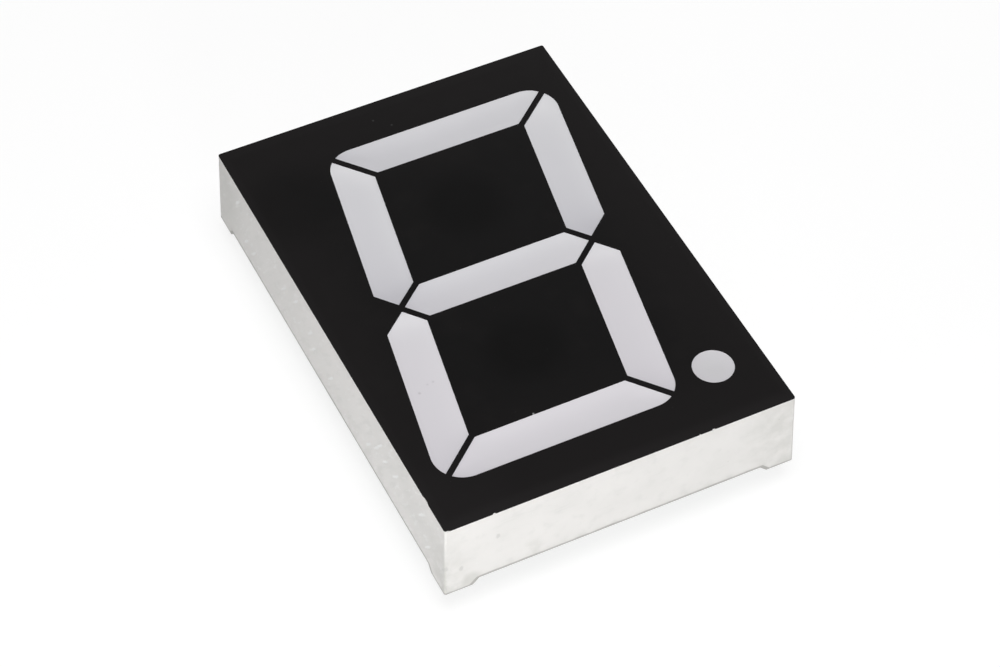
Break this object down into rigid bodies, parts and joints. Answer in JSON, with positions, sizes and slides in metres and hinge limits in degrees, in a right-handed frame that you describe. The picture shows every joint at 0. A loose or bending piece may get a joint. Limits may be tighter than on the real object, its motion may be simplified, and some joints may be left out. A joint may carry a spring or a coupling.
{
  "type": "seven segment display",
  "caption": "Single-digit seven segment LED display: white box with a black face, a slanted white digit with a round decimal point, and two rows of pins.",
  "frame": {"origin": "centre of the pin pattern on the seating plane under the feet", "axes": "+X to the right of the digit, +Y towards the top of the digit, +Z out of the printed face; the pins point along -Z"},
  "size_m": [0.0488, 0.0706, 0.016],
  "materials": {
    "white_housing": "white moulded plastic, satin, slightly scuffed",
    "black_ink": "matte black printing ink",
    "white_resin": "white diffusing resin, smooth, slightly dished",
    "green_board": "glass fibre board with green solder mask and copper tracks",
    "clear_resin": "clear, faintly yellow potting resin",
    "solder": "bright solder",
    "tinned_pin": "tin plated, semi-bright",
    "led_die": "polished semiconductor chip with a metal pad",
    "gold_wire": "bright drawn gold wire"
  },
  "bodies": {
    "root": {"housing": "white_housing", "face_coat": "black_ink", "segment_a": "white_resin", "segment_b": "white_resin", "segment_c": "white_resin", "segment_d": "white_resin", "segment_e": "white_resin", "segment_f": "white_resin", "segment_g": "white_resin", "decimal_point": "white_resin", "circuit_board": "green_board", "back_resin": "clear_resin", "solder_joints": "solder", "pin_1": "tinned_pin", "pin_2": "tinned_pin", "pin_3": "tinned_pin", "pin_4": "tinned_pin", "pin_5": "tinned_pin", "pin_6": "tinned_pin", "pin_7": "tinned_pin", "pin_8": "tinned_pin", "pin_9": "tinned_pin", "pin_10": "tinned_pin", "led_dies_a": "led_die", "bond_wires_a": "gold_wire", "led_dies_b": "led_die", "bond_wires_b": "gold_wire", "led_dies_c": "led_die", "bond_wires_c": "gold_wire", "led_dies_d": "led_die", "bond_wires_d": "gold_wire", "led_dies_e": "led_die", "bond_wires_e": "gold_wire", "led_dies_f": "led_die", "bond_wires_f": "gold_wire", "led_dies_g": "led_die", "bond_wires_g": "gold_wire", "led_dies_point": "led_die", "bond_wires_point": "gold_wire"}
  },
  "joints": []
}
